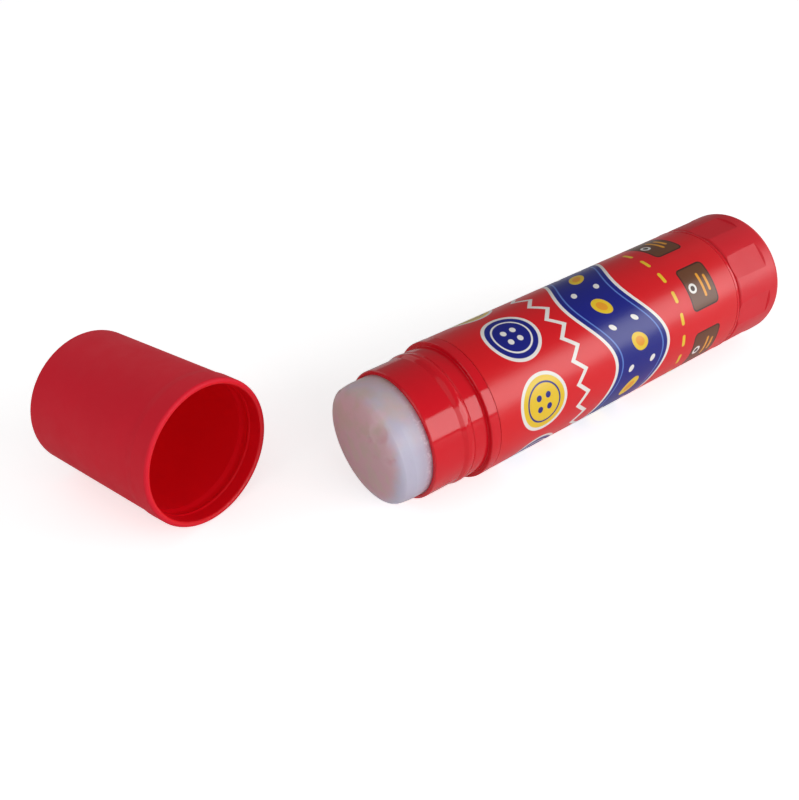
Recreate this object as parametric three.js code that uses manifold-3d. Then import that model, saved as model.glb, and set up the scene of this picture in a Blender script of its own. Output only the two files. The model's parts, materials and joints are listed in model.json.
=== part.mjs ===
// A twist-up glue stick on its side, with its cap taken off and laid beside it.
// Millimetres, +Z up. The tube runs along +X, from its knob to its open end.
import * as THREE from "three";
import { mergeVertices } from "three/addons/utils/BufferGeometryUtils.js";
import Module from "manifold-3d";

const wasm = await Module();
wasm.setup();

// Barrel
const BARREL_R = 12; // the two bare collars, at each end of the label
const BODY_LENGTH = 61.55; // from the parting line at the knob to the shoulder
const REAR_COLLAR = 0.6;
const FRONT_COLLAR = 1.9;
const COLLAR_EDGE = 0.3; // rounding of the barrel's outer corners
const NECK_LENGTH = 10.7;
const SHOULDER_STEP = 0.77; // from the collar down to the rear of the neck
const NECK_STEP = 0.21; // from the rear of the neck down to its front
const NECK_WALL = 0.67;
const RIM_EDGE = 0.35;
const FLOOR_SET_BACK = 2.25; // from the parting line in to the floor
const FLOOR_THICKNESS = 1.8;

// Snap ring on the neck, which clicks into the cap
const SNAP_GROOVE_AT = 2.75; // from the shoulder
const SNAP_GROOVE_WIDTH = 0.35;
const SNAP_GROOVE_DEPTH = 0.15;
const SNAP_RING_HEIGHT = 0.08; // over the rear of the neck
const SNAP_RING_EASE = 0.4; // slope from the groove up to the ring's crown
const SNAP_RING_CROWN = 0.65; // width of the crown
const SNAP_RING_LEAD = 0.75; // slope from the crown down to the front of the neck

// Ribs along the bore, which keep the carrier and the glue from turning
const RIB_COUNT = 2;
const RIB_AT = -42; // degrees from straight up, towards +Y
const RIB_WIDTH = 1.2;
const RIB_HEIGHT = 0.5;
const RIB_STOP = 1.5; // short of the rim
const RIB_CLEARANCE = 0.2;

// Printed film round the barrel
const LABEL_THICKNESS = 0.1;
const LABEL_GAP = 0.05; // over the barrel's panel
const LABEL_STEP = 0.14; // below the collars
const LABEL_END_GAP = 0.1;
const LABEL_SEAM = 0.5;
const LABEL_SEAM_AT = 228;

// Knob
const KNOB_LENGTH = 11.9;
const KNOB_PROUD = 0.08; // over the collars, at its outer end
const KNOB_DRAFT = 0.06; // smaller again at the parting line
const KNOB_EDGE = 1.35;
const KNOB_END_WALL = 1.8;
const KNOB_WALL = 1.45;
const PARTING_GAP = 0.35;
const FLAT_COUNT = 8;
const FLAT_DEPTH = 0.26;
const FLAT_START = 3.5; // from the end face
const FLAT_AT = 2.1; // degrees from straight up, towards +Y
const BOSS_WALL = 1.2;
const BOSS_CLEARANCE = 0.45; // inside the barrel's skirt
const SOCKET_WALL = 1.6;
const BEARING_GAP = 0.3; // on each side of the barrel's floor

// Spindle
const CORE_R = 2.4;
const THREAD_HEIGHT = 1;
const PITCH = 4;
const THREAD_CREST = 1; // width along the axis
const THREAD_FLANK = 0.6;
const THREAD_CLEARANCE = 0.2; // to the carrier's thread, on every side
const SPINDLE_LENGTH = 61.4; // from the flange to the tip
const FLANGE_R = 6.5;
const FLANGE_THICKNESS = 1.2;
const STUB_R = 3;
const STUB_CLEARANCE = 0.2; // in the floor's hole
const STUB_FLAT = 2.4; // from the axis to each driving flat
const SOCKET_CLEARANCE = 0.1; // round the stub
const CATCH_AT = 4; // snap groove, from the stub's end
const CATCH_WIDTH = 1.2;
const CATCH_DEPTH = 0.3;

// Carrier, which the spindle drives along the bore
const RETRACT = 8; // travel back from here, two turns of the knob
const CARRIER_GAP = 0.3; // to the spindle's flange, fully back
const CARRIER_CLEARANCE = 0.3; // skirt to bore
const LIP_CLEARANCE = 0.08; // wiper lips to bore
const LIP_WIDTH = 0.8;
const HUB_LENGTH = 7;
const HUB_WALL = 1.3;
const SKIRT_START = 1.5; // from the hub's foot
const CUP_FLOOR_AT = 3.5; // from the hub's foot
const CUP_FLOOR = 1.5;
const CUP_WALL = 0.85;
const CUP_DEPTH = 5;

// Glue
const GLUE_CLEARANCE = 0.2; // to the bore
const GLUE_SEAT = 0.1; // to the carrier
const GLUE_OUT = 2.54; // straight side past the rim
const GLUE_CROWN = 3.94; // height of the worn dome
const GLUE_CROWN_POWER = 3.375; // 2 is an ellipse, more is flatter with a tighter edge
const GLUE_SLANT = 5.5; // degrees, the dome worn down on one side
const GLUE_SLANT_AT = 35; // the higher side, degrees from straight up, towards +Y
const GLUE_COVER = 4.6; // over the tip of the bore that the spindle fills

// Cap
const CAP_LENGTH = 30.05;
const CAP_FIT = 0.17; // mouth over the rear of the neck
const CAP_MOUTH_WALL = 1.02;
const CAP_BAND = 3.5; // flared band at the mouth
const CAP_BAND_EASE = 1.2;
const CAP_BAND_STEP = 0.16;
const CAP_DRAFT = 0.45; // radius lost from the band to the closed end
const CAP_EDGE = 0.5;
const CAP_LIP_EDGE = 0.4;
const CAP_END_WALL = 1.3;
const CAP_CORNER = 1.2; // inside, at the closed end
const CAP_GRIP = 0.13; // bore over the front of the neck
const CAP_BORE_DRAFT = 0.4;
const CAP_BEAD_CLEARANCE = 0.06; // to the bottom of the neck's snap groove
const CAP_BEAD_WIDTH = 0.5;
const CAP_RELIEF_END = 4.2; // from the mouth to the step down to the bore

// Where the cap lies: the centre of its closed end, and the way its mouth points
const CAP_X = 116.4;
const CAP_Y = -43.66;
const CAP_TURN = 103.43; // degrees from +X

// Roundness of the turned shapes
const SIDES = 48;
const THREAD_SIDES = 16;
const ARC_STEPS = 3;
const CROWN_STEPS = 7;

// Colours
const RED = 0xc8242f;
const CAP_RED = 0xb82832;
const GLUE_WHITE = 0xb0a5b9;
const INNER_WHITE = 0xe6e3dc;

// Radii
const neckRearR = BARREL_R - SHOULDER_STEP;
const neckFrontR = neckRearR - NECK_STEP;
const boreR = neckFrontR - NECK_WALL;
const labelOuterR = BARREL_R - LABEL_STEP;
const labelInnerR = labelOuterR - LABEL_THICKNESS;
const panelR = labelInnerR - LABEL_GAP;
const knobR = BARREL_R + KNOB_PROUD;
const crestR = CORE_R + THREAD_HEIGHT;
const hubR = crestR + THREAD_CLEARANCE + HUB_WALL;
const skirtR = boreR - CARRIER_CLEARANCE;
const cupR = skirtR - CUP_WALL;
const glueR = boreR - GLUE_CLEARANCE;
const capMouthBoreR = neckRearR + CAP_FIT;
const capRimR = capMouthBoreR + CAP_MOUTH_WALL;
const capEndR = capRimR - CAP_BAND_STEP - CAP_DRAFT;

// Places along the tube, from the knob's end face
const partingX = KNOB_LENGTH + PARTING_GAP;
const shoulderX = partingX + BODY_LENGTH;
const rimX = shoulderX + NECK_LENGTH;
const floorX = partingX + FLOOR_SET_BACK;
const floorTopX = floorX + FLOOR_THICKNESS;
const bossEndX = floorX - BEARING_GAP;
const flangeX = floorTopX + BEARING_GAP;
const flangeTopX = flangeX + FLANGE_THICKNESS;
const spindleTipX = flangeTopX + SPINDLE_LENGTH - FLANGE_THICKNESS;
const stubEndX = KNOB_END_WALL + BEARING_GAP;
const hubX = flangeTopX + CARRIER_GAP + RETRACT;
const cupFloorX = hubX + CUP_FLOOR_AT + CUP_FLOOR;
const cupRimX = cupFloorX + CUP_DEPTH;
const crownX = rimX + GLUE_OUT;

// A closed geometry as a solid that can be cut and joined
function solidOf(geometry) {
  const bare = geometry.clone();
  bare.deleteAttribute("normal");
  bare.deleteAttribute("uv");
  const merged = mergeVertices(bare, 1e-4);
  const corners = merged.index.array;
  const triangles = [];
  for (let i = 0; i < corners.length; i += 3) {
    const [a, b, c] = corners.slice(i, i + 3);
    if (a !== b && b !== c && c !== a) triangles.push(a, b, c);
  }
  return new wasm.Manifold(
    new wasm.Mesh({
      numProp: 3,
      vertProperties: new Float32Array(merged.attributes.position.array),
      triVerts: new Uint32Array(triangles),
    }),
  );
}

// The piece that a solid makes: one named mesh in its own finish
function piece(name, solid, color, roughness) {
  const { vertProperties, triVerts } = solid.getMesh();
  const geometry = new THREE.BufferGeometry();
  geometry.setAttribute("position", new THREE.BufferAttribute(vertProperties, 3));
  geometry.setIndex(new THREE.BufferAttribute(triVerts, 1));
  geometry.computeVertexNormals();
  const material = new THREE.MeshStandardMaterial({ color, roughness, metalness: 0 });
  const mesh = new THREE.Mesh(geometry, material);
  mesh.name = name;
  return mesh;
}

// A turned geometry about the X axis, from a profile of [place along the axis, radius]
function turned(profile, sides = SIDES) {
  const points = profile.map(([x, r]) => new THREE.Vector2(r, x));
  return new THREE.LatheGeometry(points, sides).rotateZ(-Math.PI / 2);
}

// A ring-shaped profile, which has no point on the axis, closes on its first point
const ring = (profile, sides) => solidOf(turned([...profile, profile[0]], sides));
const spun = (profile, sides) => solidOf(turned(profile, sides));

// Points of a quarter round in a profile, between two directions given in degrees
function arc([x, r], radius, from, to) {
  return Array.from({ length: ARC_STEPS + 1 }, (_, i) => {
    const angle = THREE.MathUtils.degToRad(from + ((to - from) * i) / ARC_STEPS);
    return [x + radius * Math.cos(angle), r + radius * Math.sin(angle)];
  });
}

// A bar along the axis, standing off it from one height to another, turned from straight up
function bar([x0, x1], [low, high], width, degrees) {
  const geometry = new THREE.BoxGeometry(x1 - x0, width, high - low);
  geometry.translate((x0 + x1) / 2, 0, (low + high) / 2);
  return solidOf(geometry.rotateX(-THREE.MathUtils.degToRad(degrees)));
}

// The same bar at equal turns round the axis
function barsRound(count, start, span, heights, width) {
  const bars = Array.from({ length: count }, (_, i) =>
    bar(span, heights, width, start + (360 * i) / count),
  );
  return bars.reduce((all, next) => all.add(next));
}

// A left-hand screw about the X axis, grown all over by a clearance
function screw(x0, x1, clearance) {
  const crest = THREAD_CREST + 2 * clearance;
  const section = [
    [0, CORE_R + clearance],
    [PITCH - crest - 2 * THREAD_FLANK, CORE_R + clearance],
    [PITCH - crest - THREAD_FLANK, crestR + clearance],
    [PITCH - THREAD_FLANK, crestR + clearance],
  ];
  const shift = clearance + THREAD_FLANK + THREAD_CREST / 2; // the crest's middle stays in place
  const turns = Math.ceil((x1 - x0) / PITCH) + 2;
  const start = (Math.floor(x0 / PITCH) - 1) * PITCH + shift;
  const positions = [];
  const steps = turns * THREAD_SIDES;
  for (let step = 0; step <= steps; step++) {
    const angle = (2 * Math.PI * step) / THREAD_SIDES;
    for (const [along, r] of section) {
      const x = start + along + (PITCH * step) / THREAD_SIDES;
      positions.push(x, r * Math.sin(angle), r * Math.cos(angle));
    }
  }
  const per = section.length;
  const at = (step, k) => (k < per ? step * per + k : (step + THREAD_SIDES) * per);
  const faces = [];
  for (let step = 0; step < steps - THREAD_SIDES; step++) {
    for (let k = 0; k < per; k++) {
      const [a, b, c, d] = [at(step, k), at(step, k + 1), at(step + 1, k + 1), at(step + 1, k)];
      faces.push(a, b, c, a, c, d);
    }
  }
  const lowEnd = positions.length / 3;
  positions.push(start, 0, 0);
  positions.push(start + turns * PITCH, 0, 0);
  for (let step = 0; step < THREAD_SIDES; step++) {
    faces.push(lowEnd, at(step, 0), at(step + 1, 0));
    const last = steps - THREAD_SIDES + step;
    faces.push(lowEnd + 1, at(last + 1, 0), at(last, 0));
  }
  for (let k = 0; k < per; k++) {
    faces.push(lowEnd, at(0, k + 1), at(0, k));
    faces.push(lowEnd + 1, at(steps - THREAD_SIDES, k), at(steps - THREAD_SIDES, k + 1));
  }
  const geometry = new THREE.BufferGeometry();
  geometry.setAttribute("position", new THREE.Float32BufferAttribute(positions, 3));
  geometry.setIndex(faces);
  const reach = 2 * crestR;
  return solidOf(geometry).intersect(spun([[x0, 0], [x0, reach], [x1, reach], [x1, 0]]));
}

// The spindle's stub, or with a clearance the knob's socket for it
function stub(x0, x1, clearance) {
  const r = STUB_R + clearance;
  const catchX = stubEndX + CATCH_AT + clearance;
  const catchEndX = stubEndX + CATCH_AT + CATCH_WIDTH - clearance;
  const catchR = r - CATCH_DEPTH;
  const round = spun([
    [x0, 0],
    [x0, r],
    [catchX, r],
    [catchX + CATCH_DEPTH, catchR],
    [catchEndX - CATCH_DEPTH, catchR],
    [catchEndX, r],
    [x1, r],
    [x1, 0],
  ]);
  const across = 2 * (STUB_FLAT + clearance);
  const flats = new THREE.BoxGeometry(x1 - x0, across, 4 * r).translate((x0 + x1) / 2, 0, 0);
  return round.intersect(solidOf(flats));
}

function barrel() {
  const grooveX = shoulderX + SNAP_GROOVE_AT;
  const ringX = grooveX + SNAP_GROOVE_WIDTH;
  const ringTopX = ringX + SNAP_RING_EASE;
  const ringLeadX = ringTopX + SNAP_RING_CROWN;
  const holeR = STUB_R + STUB_CLEARANCE;
  const shell = ring([
    [floorX, holeR],
    [floorX, boreR],
    [partingX, boreR],
    ...arc([partingX + COLLAR_EDGE, BARREL_R - COLLAR_EDGE], COLLAR_EDGE, 180, 90),
    [partingX + REAR_COLLAR, BARREL_R],
    [partingX + REAR_COLLAR, panelR],
    [shoulderX - FRONT_COLLAR, panelR],
    [shoulderX - FRONT_COLLAR, BARREL_R],
    ...arc([shoulderX - COLLAR_EDGE, BARREL_R - COLLAR_EDGE], COLLAR_EDGE, 90, 0),
    [shoulderX, neckRearR],
    [grooveX, neckRearR],
    [grooveX, neckRearR - SNAP_GROOVE_DEPTH],
    [ringX, neckRearR - SNAP_GROOVE_DEPTH],
    [ringX, neckRearR],
    [ringTopX, neckRearR + SNAP_RING_HEIGHT],
    [ringLeadX, neckRearR + SNAP_RING_HEIGHT],
    [ringLeadX + SNAP_RING_LEAD, neckFrontR],
    ...arc([rimX - RIM_EDGE, neckFrontR - RIM_EDGE], RIM_EDGE, 90, 0),
    [rimX, boreR],
    [floorTopX, boreR],
    [floorTopX, holeR],
  ]);
  const ribSpan = [floorTopX - FLOOR_THICKNESS / 2, rimX - RIB_STOP];
  const ribHeights = [boreR - RIB_HEIGHT, boreR + NECK_WALL / 2];
  return shell.add(barsRound(RIB_COUNT, RIB_AT, ribSpan, ribHeights, RIB_WIDTH));
}

// Room along the bore for the ribs, to take out of a piece that slides past them
function ribRoom(x0, x1) {
  const heights = [boreR - RIB_HEIGHT - RIB_CLEARANCE, boreR + RIB_HEIGHT];
  return barsRound(RIB_COUNT, RIB_AT, [x0, x1], heights, RIB_WIDTH + 2 * RIB_CLEARANCE);
}

function label() {
  const x0 = partingX + REAR_COLLAR + LABEL_END_GAP;
  const x1 = shoulderX - FRONT_COLLAR - LABEL_END_GAP;
  const sleeve = ring([[x0, labelInnerR], [x0, labelOuterR], [x1, labelOuterR], [x1, labelInnerR]]);
  const seamHeights = [panelR, BARREL_R];
  return sleeve.subtract(bar([0, rimX], seamHeights, LABEL_SEAM, LABEL_SEAM_AT));
}

function knob() {
  const innerR = knobR - KNOB_DRAFT - KNOB_WALL;
  const bossR = boreR - BOSS_CLEARANCE;
  const socketR = STUB_R + SOCKET_CLEARANCE + SOCKET_WALL;
  const body = spun([
    [0, 0],
    ...arc([KNOB_EDGE, knobR - KNOB_EDGE], KNOB_EDGE, 180, 90),
    [KNOB_LENGTH, knobR - KNOB_DRAFT],
    [KNOB_LENGTH, innerR],
    [KNOB_END_WALL, innerR],
    [KNOB_END_WALL, bossR],
    [bossEndX, bossR],
    [bossEndX, bossR - BOSS_WALL],
    [KNOB_END_WALL, bossR - BOSS_WALL],
    [KNOB_END_WALL, socketR],
    [bossEndX, socketR],
    [bossEndX, 0],
  ]);
  const flatSpan = [FLAT_START, KNOB_LENGTH + PARTING_GAP];
  const flatHeights = [knobR - FLAT_DEPTH, knobR + FLAT_DEPTH];
  const flats = barsRound(FLAT_COUNT, FLAT_AT, flatSpan, flatHeights, knobR / 2);
  return body.subtract(flats).subtract(stub(KNOB_END_WALL, bossEndX + BEARING_GAP, SOCKET_CLEARANCE));
}

function spindle() {
  const flange = spun([
    [bossEndX, 0],
    [bossEndX, STUB_R],
    [flangeX, STUB_R],
    [flangeX, FLANGE_R],
    [flangeTopX, FLANGE_R],
    [flangeTopX, 0],
  ]);
  const root = flangeTopX - FLANGE_THICKNESS / 2;
  return flange.add(stub(stubEndX, bossEndX, 0)).add(screw(root, spindleTipX, 0));
}

function carrier() {
  const skirtX = hubX + SKIRT_START;
  const lipR = boreR - LIP_CLEARANCE;
  const innerR = skirtR - CUP_WALL;
  const body = spun([
    [hubX, 0],
    [hubX, hubR],
    [hubX + CUP_FLOOR_AT, hubR],
    [hubX + CUP_FLOOR_AT, innerR],
    [skirtX, innerR],
    [skirtX, lipR],
    [skirtX + LIP_WIDTH, lipR],
    [skirtX + LIP_WIDTH, skirtR],
    [cupRimX - LIP_WIDTH, skirtR],
    [cupRimX - LIP_WIDTH, lipR],
    [cupRimX, lipR],
    [cupRimX, cupR],
    [cupFloorX, cupR],
    [cupFloorX, hubR],
    [hubX + HUB_LENGTH, hubR],
    [hubX + HUB_LENGTH, 0],
  ]);
  const thread = screw(hubX - PITCH, hubX + HUB_LENGTH + PITCH, THREAD_CLEARANCE);
  return body.subtract(thread).subtract(ribRoom(hubX, cupRimX + GLUE_SEAT));
}

function glue() {
  const crown = Array.from({ length: CROWN_STEPS + 1 }, (_, i) => {
    const angle = (Math.PI / 2) * (i / CROWN_STEPS);
    const across = i < CROWN_STEPS ? Math.cos(angle) ** (2 / GLUE_CROWN_POWER) : 0;
    return [crownX + GLUE_CROWN * Math.sin(angle) ** (2 / GLUE_CROWN_POWER), glueR * across];
  });
  const counterboreX = hubX + HUB_LENGTH + GLUE_SEAT;
  const boreEndX = crownX + GLUE_CROWN - GLUE_COVER;
  const counterboreR = hubR + GLUE_SEAT;
  const spindleBoreR = crestR + THREAD_CLEARANCE;
  const stick = turned([
    [boreEndX, 0],
    [boreEndX, spindleBoreR],
    [counterboreX, spindleBoreR],
    [counterboreX, counterboreR],
    [cupFloorX + GLUE_SEAT, counterboreR],
    [cupFloorX + GLUE_SEAT, cupR - GLUE_SEAT],
    [cupRimX + GLUE_SEAT, cupR - GLUE_SEAT],
    [cupRimX + GLUE_SEAT, glueR],
    [rimX, glueR],
    ...crown,
  ]);
  // The worn dome leans: past the rim, each ring is pushed along the axis on its higher side.
  const slope = Math.tan(THREE.MathUtils.degToRad(GLUE_SLANT));
  const lean = new THREE.Vector2(0, 1).rotateAround(
    new THREE.Vector2(),
    -THREE.MathUtils.degToRad(GLUE_SLANT_AT),
  );
  const places = stick.attributes.position;
  for (let i = 0; i < places.count; i++) {
    if (places.getX(i) < crownX - 1e-3) continue;
    const toHighSide = places.getY(i) * lean.x + places.getZ(i) * lean.y;
    places.setX(i, places.getX(i) + slope * toHighSide);
  }
  return solidOf(stick).subtract(ribRoom(cupRimX, crownX + 2 * GLUE_CROWN));
}

function cap() {
  const bandX = CAP_LENGTH - CAP_BAND;
  const beadX = CAP_LENGTH - SNAP_GROOVE_AT - SNAP_GROOVE_WIDTH / 2;
  const beadR = neckRearR - SNAP_GROOVE_DEPTH + CAP_BEAD_CLEARANCE;
  const stepX = CAP_LENGTH - CAP_RELIEF_END;
  const boreFrontR = neckFrontR + CAP_GRIP;
  const boreEndR = boreFrontR - CAP_BORE_DRAFT;
  return spun([
    [0, 0],
    ...arc([CAP_EDGE, capEndR - CAP_EDGE], CAP_EDGE, 180, 90),
    [bandX - CAP_BAND_EASE, capRimR - CAP_BAND_STEP],
    [bandX, capRimR],
    ...arc([CAP_LENGTH - CAP_LIP_EDGE, capRimR - CAP_LIP_EDGE], CAP_LIP_EDGE, 90, 0),
    [CAP_LENGTH, capMouthBoreR],
    [beadX + CAP_BEAD_WIDTH / 2, capMouthBoreR],
    [beadX, beadR],
    [beadX - CAP_BEAD_WIDTH / 2, capMouthBoreR],
    [stepX, capMouthBoreR],
    [stepX - (capMouthBoreR - boreFrontR), boreFrontR],
    ...arc([CAP_END_WALL + CAP_CORNER, boreEndR - CAP_CORNER], CAP_CORNER, 90, 180),
    [CAP_END_WALL, 0],
  ]);
}

// The tube lies on the round end of its knob
const tube = new THREE.Group();
tube.position.z = knobR;
tube.add(
  piece("barrel", barrel(), RED, 0.35),
  piece("label", label(), RED, 0.3),
  piece("knob", knob(), RED, 0.45),
  piece("spindle", spindle(), INNER_WHITE, 0.5),
  piece("carrier", carrier(), INNER_WHITE, 0.5),
  piece("glue", glue(), GLUE_WHITE, 0.6),
);

// The cap lies on its closed end's edge and on the start of its wider band, so it leans a little
const capLean = Math.atan((capRimR - capEndR) / (CAP_LENGTH - CAP_BAND - CAP_EDGE));
const laidCap = new THREE.Group();
laidCap.rotation.set(0, -capLean, THREE.MathUtils.degToRad(CAP_TURN), "ZYX");
laidCap.position.set(
  CAP_X,
  CAP_Y,
  capEndR * Math.cos(capLean) - CAP_EDGE * Math.sin(capLean),
);
laidCap.add(piece("cap", cap(), CAP_RED, 0.55));

// The origin is under the middle of the whole object
const gluestick = new THREE.Group();
gluestick.add(tube, laidCap);
const box = new THREE.Box3().setFromObject(gluestick, true);
const middle = box.getCenter(new THREE.Vector3());
tube.position.sub(new THREE.Vector3(middle.x, middle.y, box.min.z));
laidCap.position.sub(new THREE.Vector3(middle.x, middle.y, box.min.z));

export default gluestick;
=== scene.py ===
# A twist-up glue stick on its side, with its cap taken off and laid beside it: how it looks.
import json
from math import atan2, ceil, cos, pi, radians, sin, tan

import bpy
from mathutils import Matrix, Vector


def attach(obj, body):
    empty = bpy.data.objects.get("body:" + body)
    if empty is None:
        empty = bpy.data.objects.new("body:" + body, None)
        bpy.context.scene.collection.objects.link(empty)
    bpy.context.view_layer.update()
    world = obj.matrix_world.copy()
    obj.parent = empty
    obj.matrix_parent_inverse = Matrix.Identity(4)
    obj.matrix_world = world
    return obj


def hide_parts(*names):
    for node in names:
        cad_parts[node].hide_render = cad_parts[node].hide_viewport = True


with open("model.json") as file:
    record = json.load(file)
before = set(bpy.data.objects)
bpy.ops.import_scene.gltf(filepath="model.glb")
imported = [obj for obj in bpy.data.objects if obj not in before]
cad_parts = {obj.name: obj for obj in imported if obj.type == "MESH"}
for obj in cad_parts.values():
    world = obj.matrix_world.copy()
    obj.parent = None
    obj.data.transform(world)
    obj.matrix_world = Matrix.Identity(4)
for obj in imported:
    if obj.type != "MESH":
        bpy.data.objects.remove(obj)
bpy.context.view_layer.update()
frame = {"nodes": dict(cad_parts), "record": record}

MM = 0.001
SIDES = 192  # round every turned piece
ARC_STEP = radians(11)  # in the round of a corner
WELD = 1e-6  # points of an outline that are this close in metres are one

# Over how many degrees an edge stays sharp
CREASE = 30
KNOB_CREASE = 11.5  # keeps the edges of the flats
GLUE_CREASE = 60

# Barrel, in mm: places along it are counted from the knob's end face
BARREL_FLOOR_SET_BACK = 2.25  # from the parting line at the knob
BARREL_FLOOR = 1.8
REAR_COLLAR = 0.68
FRONT_COLLAR = 1.9
COLLAR_EDGE = 0.2
PANEL_DEPTH = 0.29  # under the label, below the collars
NECK_LENGTH = 10.7
SHOULDER_STEP = 0.77  # from the collar down to the rear of the neck
NECK_STEP = 0.21  # from the rear of the neck down to its front
NECK_WALL = 0.67
RIM_EDGE = 0.33
SNAP_GROOVE_AT = 2.75  # from the shoulder
SNAP_GROOVE = 0.35  # wide
SNAP_GROOVE_DEPTH = 0.12
SNAP_RING_HEIGHT = 0.08  # over the rear of the neck
SNAP_RING_EASE = 0.4  # slope from the groove up to the ring's crown
SNAP_RING_CROWN = 0.65
SNAP_RING_LEAD = 0.75  # slope from the crown down to the front of the neck
STUB_HOLE_R = 3.2  # in the barrel's floor
RIB_AT = (-42, 138)  # degrees from straight up, towards +Y
RIB_WIDTH = 1.2
RIB_HEIGHT = 0.5
RIB_STOP = 1.5  # from the neck's rim

# Label
LABEL_THICKNESS = 0.1
LABEL_STEP = 0.06  # below the collars
LABEL_SEAM = 0.5  # open between the two ends of the film
LABEL_SEAM_AT = 228  # degrees from straight up, towards +Y
LABEL_ROWS = 16  # of faces along the film

# Print on the label: rows of sewing things round the tube, each placed from the film's rear edge
INK_EDGE = 0.05  # half the width of the soft edge of an ink
BEYOND = 100  # longer than the film
INKS = {
    "red": "#E8111E", "deep_red": "#E00F1B", "navy": "#111A86", "pale_blue": "#5C7FD0", "white": "#F3EFEA",
    "yellow": "#F2CB2A", "orange": "#F0A226", "brown": "#6B3F24", "dark_brown": "#3C2013",
}
INK_TONE = 12  # over which the red drifts to the deep red
RIPPLE = 5  # from crest to crest
RIPPLE_DEPTH = 0.02
TAG_ROW = 8.3
TAGS = 6
TAG_SIZE = (7.0, 8.4)
TAG_CORNER = 1
TAG_HEM = 0.3
TAG_LINES = ((-0.6, 4.6), (-2.0, 3.2))  # place from the middle of the tag, and length
TAG_LINE_REACH = 0.3
EYELET_AT = 1.9
EYELET_R = 0.95
EYELET_HOLE_R = 0.5
STITCH_ROW = 15.0
STITCHES = 18
STITCH_SIZE = (0.75, 2.3)
STITCH_CORNER = 0.35
RIBBON_ROW = 28.2
RIBBON_WIDTH = 12.4
RIBBON_HEM = 0.7
RIBBON_WAVES = 3
RIBBON_SWING = 2.5
RIBBON_THREAD_AT = 1.1  # from the ribbon's edge
THREAD_REACH = 0.16
SPOTS = 3  # in each wave
SPOT_R = 1.75
SPOT_EYE_R = 0.95
DOT_ROWS = (-2.7, 2.7)
DOT_R = 0.62
ZIGZAG_ROW = 40.4
ZIGZAGS = 18
ZIGZAG_SWING = 1.1
BRAID_REACH = 0.5
BUTTON_ROW = 49.3
BUTTONS = 6
BUTTON_R = 5.1
BUTTON_HEM = 0.6
BUTTON_RING_AT = 1.7  # from the button's edge
BUTTON_HOLE_AT = 1.0
BUTTON_HOLE_R = 0.55

# Knob
PARTING_GAP = 0.18
KNOB_DRAFT = 0.06  # narrower at the barrel
KNOB_EDGE = 1.35  # at the end face
KNOB_LIP = 0.6  # at the parting line
KNOB_END_WALL = 1.8
KNOB_WALL = 1.45
FLAT_COUNT = 8
FLAT_DEPTH = 0.27
FLAT_START = 3.5  # from the end face
FLAT_SLOPE = 0.42  # length of the step from a flat up to the skirt
FLAT_AT = 2.1  # the first one, degrees from straight up, towards +Y
BOSS_WALL = 1.2
BOSS_CLEARANCE = 0.45  # to the barrel's bore
BOSS_GAP = 0.3  # to the barrel's floor
SOCKET_R = 3.1
SOCKET_WALL = 1.6

# Moulding gate, in a dimple in the middle of an end face
DIMPLE_R = 2.2
DIMPLE_DEPTH = 0.3
GATE_R = 0.6
GATE_HEIGHT = 0.16

# Glue
GLUE_CLEARANCE = 0.03  # to the bore
GLUE_FOOT = 5  # in the carrier's cup
GLUE_FOOT_STEP = 1.15  # from the bore in to the side of the foot
GLUE_COUNTERBORE = 2  # deep, round the carrier's hub
GLUE_COUNTERBORE_R = 5
GLUE_BORE_R = 3.6  # round the spindle
GLUE_COVER = 4.6  # over the end of the bore
GLUE_OUT = 2.54  # from the neck's rim to the bevel
GLUE_CROWN = 3.94  # height of the dome
GLUE_CROWN_POWER = 3.375  # of the dome as a superellipse: 2 is round, more is boxier
GLUE_CROWN_STEPS = 32  # over the rounded edge of the dome
GLUE_FACE_STEP = 0.25  # over its face
GLUE_BEVEL = 1.6  # height of the bevel between the side and the dome
GLUE_BEVEL_EDGE = 0.6
GLUE_SLANT = 5.5  # degrees
GLUE_SLANT_AT = 35  # the higher side, degrees from straight up, towards +Y
RIB_ROOM = 0.2  # on each side of a guide rib
# Dents in the worn face: towards +Y, up, radius and depth
DENTS = (
    (5.6, 6.5, 2.0, 0.42), (3.7, 4.7, 0.6, 0.3), (7.7, 2.5, 0.9, 0.2), (8.5, 3.1, 0.55, 0.15),
    (4.9, 2.3, 0.8, 0.1), (0.1, 7.1, 0.45, 0.1), (-1.0, 8.2, 0.45, 0.1), (-3.2, 1.5, 1.1, 0.08),
)
DENT_EDGE = 0.65  # width of a dent's rim, in radii

# Colours of the glue: where they lie and how wide they are, in mm
WORN_SHIFT = (0.7, -1.0)  # puts the middle of the worn patch this far from the axis, away from +Y and up
WORN_RAGGED = 3.2  # by which the clouds draw in the edge of the patch
WORN_EDGE = (10.2, 12.4)  # from its middle, before it is drawn in
PAINTED_SHADE_TOP = 6  # over the axis, and from there on the gel is painted darker and pinker, a painted shade towards the bottom
PAINTED_SHADE_BOTTOM = -8
FRESH_FADE = 3  # from the dried glue outside the neck to the fresh glue in it
CLOUD = 4  # wide
STAIN = 2.6  # wide
PAINTED_BEVEL_HIGHLIGHT = (-1.4, 0.4)  # along the stick, from the bevel: the span over which a highlight is painted on the side
PAINTED_RIM_BOUNCE = 1.3  # to either side of the neck's rim, over which red light bounced off the rim is painted on the gel
CRUMB = 0.5  # wide
CRUMB_REACH = 1.6  # to either side of the neck's rim
SMEAR = 1.6  # wide
SMEAR_DEPTH = 0.05

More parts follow.
